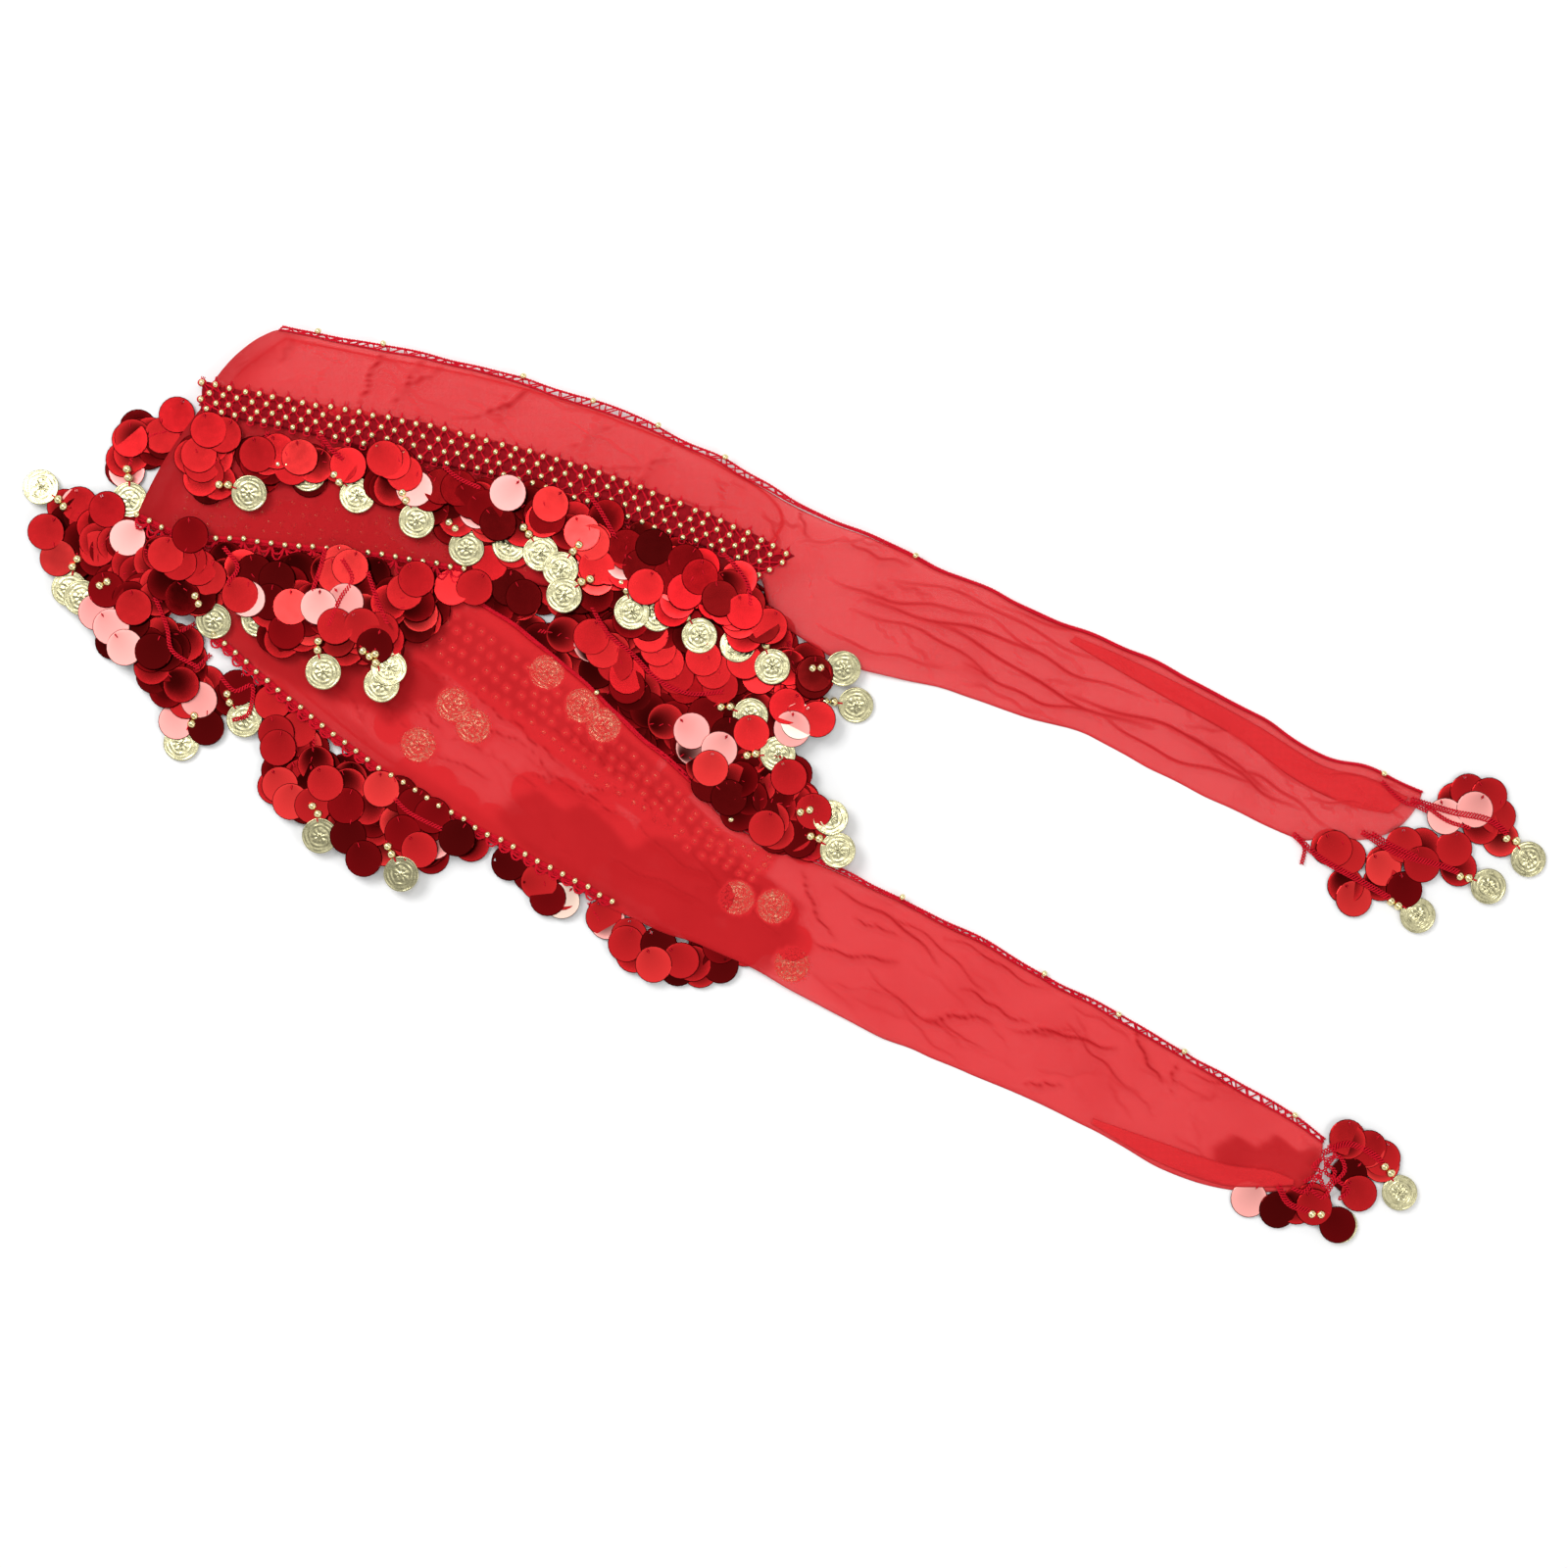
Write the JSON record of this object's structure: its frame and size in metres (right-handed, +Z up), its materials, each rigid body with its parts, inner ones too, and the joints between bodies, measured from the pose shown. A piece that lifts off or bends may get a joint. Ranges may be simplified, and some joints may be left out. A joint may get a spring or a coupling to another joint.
{
  "type": "belly dance hip scarf",
  "caption": "Sheer hip scarf folded at the hip and laid flat, with beaded bands, paillette and coin fringe and two tie tails.",
  "frame": {"origin": "middle of the scarf's outline, on the surface it lies on", "axes": "+X along the folded scarf towards the tie tails, +Y towards the waist edge of the upper half, +Z up from the surface"},
  "size_m": [0.839, 0.5051, 0.0143],
  "materials": {
    "chiffon": "sheer plain weave with a soft sheen",
    "crochet_thread": "matte crocheted thread",
    "paillette": "metallised mirror foil",
    "coin": "stamped, pale gold",
    "bead": "polished, gold"
  },
  "bodies": {
    "root": {"hidden_layers": "chiffon", "chiffon_upper": "chiffon", "chiffon_middle": "chiffon", "chiffon_lower": "chiffon", "turned_band_upper": "chiffon", "turned_band_lower": "chiffon", "beaded_band": "crochet_thread", "waist_trim_upper": "crochet_thread", "waist_trim_lower": "crochet_thread", "beaded_edge_middle": "crochet_thread", "beaded_edge_lower": "crochet_thread", "fringe_upper_1": "paillette", "fringe_upper_2": "paillette", "fringe_upper_3": "paillette", "fringe_upper_4": "paillette", "fringe_middle_1": "paillette", "fringe_middle_2": "paillette", "fringe_right_1": "paillette", "fringe_right_2": "paillette", "fringe_right_3": "paillette", "fringe_right_4": "paillette", "tassel_upper_1": "paillette", "tassel_upper_2": "paillette", "tassel_upper_3": "paillette", "tassel_lower_1": "paillette", "tassel_lower_2": "paillette", "fringe_lower_1": "paillette", "fringe_lower_2": "paillette", "fringe_lower_3": "paillette", "fringe_lower_4": "paillette", "fringe_lower_5": "paillette", "fringe_lower_6": "paillette", "fringe_left_1": "paillette", "fringe_left_2": "paillette", "fringe_left_3": "paillette"}
  },
  "joints": []
}
